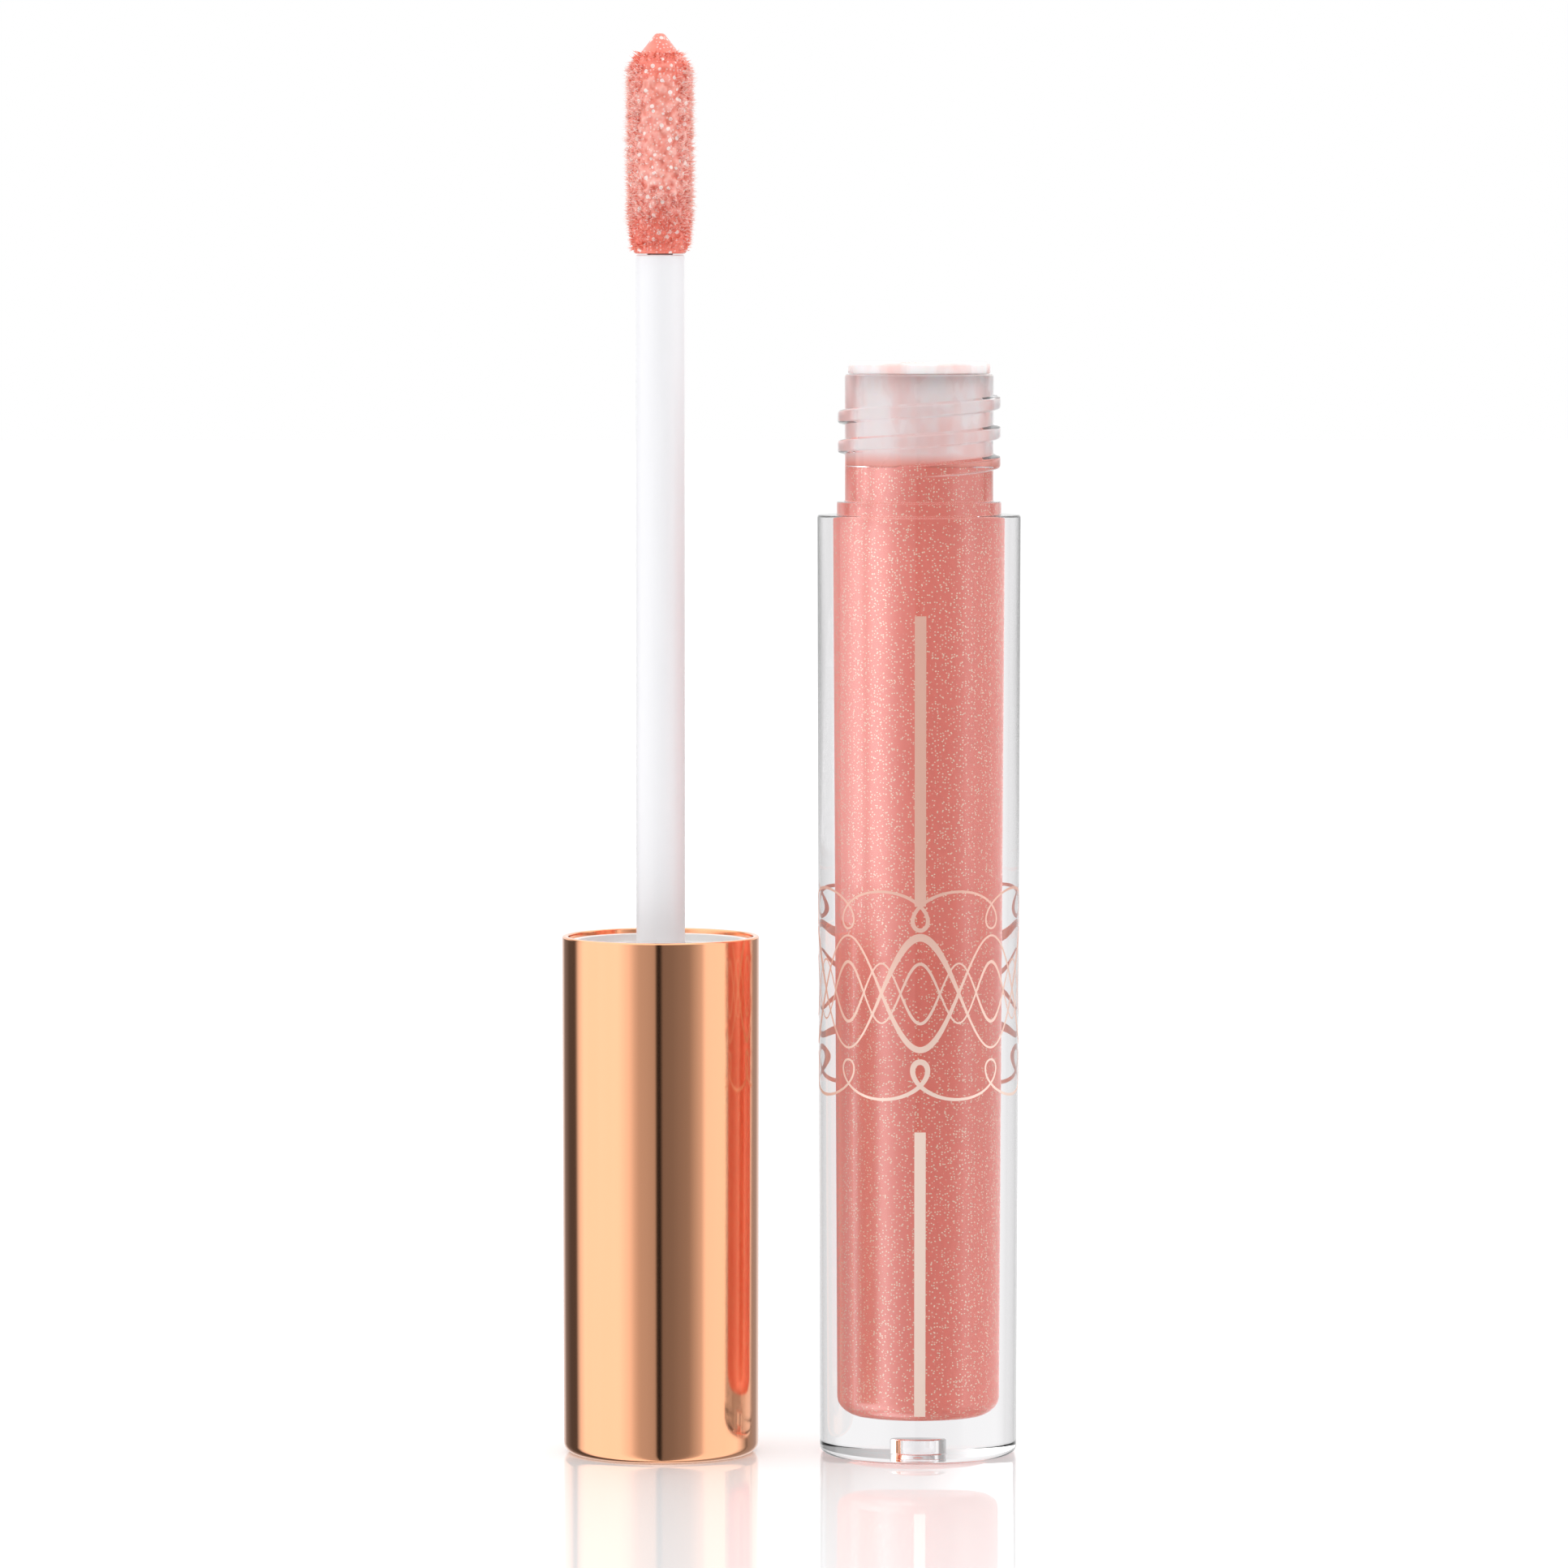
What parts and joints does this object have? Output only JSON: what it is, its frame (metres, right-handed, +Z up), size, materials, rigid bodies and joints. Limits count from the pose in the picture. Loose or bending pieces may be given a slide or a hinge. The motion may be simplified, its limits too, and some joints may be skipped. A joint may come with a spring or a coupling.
{
  "type": "lip gloss tube",
  "caption": "Clear round vial of lip gloss with a threaded neck and wiper, and a screw cap that carries a flocked wand.",
  "frame": {"origin": "on the surface that the vial and the upturned cap stand on, midway across the two", "axes": "+Z up along both axes, +X from the cap to the vial, the front with the printed bars faces -Y"},
  "size_m": [0.0386, 0.0172, 0.1196],
  "materials": {
    "clear_vial": "thick injection-moulded clear plastic, polished",
    "milky_wiper": "soft translucent milky plastic, wet with gloss",
    "gloss": "thick coral-pink lip gloss with a fine shimmer",
    "rose_metal": "rose-gold anodised aluminium, smooth satin polish",
    "liner_plastic": "moulded off-white plastic",
    "white_plastic": "smooth white moulded plastic",
    "core_elastomer": "springy moulded elastomer, hidden under the flock",
    "flock": "short flocked fibres wet with gloss",
    "foil": "hot-stamped rose-gold foil on the vial"
  },
  "bodies": {
    "vial": {"vial": "clear_vial", "wiper": "milky_wiper", "gloss_fill": "gloss"},
    "turned_wand": {"applicator_core": "core_elastomer"},
    "cap": {"cap_shell": "rose_metal", "cap_liner": "liner_plastic", "wand_stem": "white_plastic", "applicator_flock": "flock"}
  },
  "joints": [
    {"name": "cap_turnover", "type": "hinge", "parent": "vial", "child": "turned_wand", "pos_m": [-0.00013, 0, 0.1073], "axis": [0, 1, 0], "range_deg": [0, 180]},
    {"name": "cap_twist", "type": "hinge", "parent": "turned_wand", "child": "cap", "pos_m": [-0.011, 0, 0.0219], "axis": [0, 0, -1], "range_deg": [0, 792]}
  ]
}
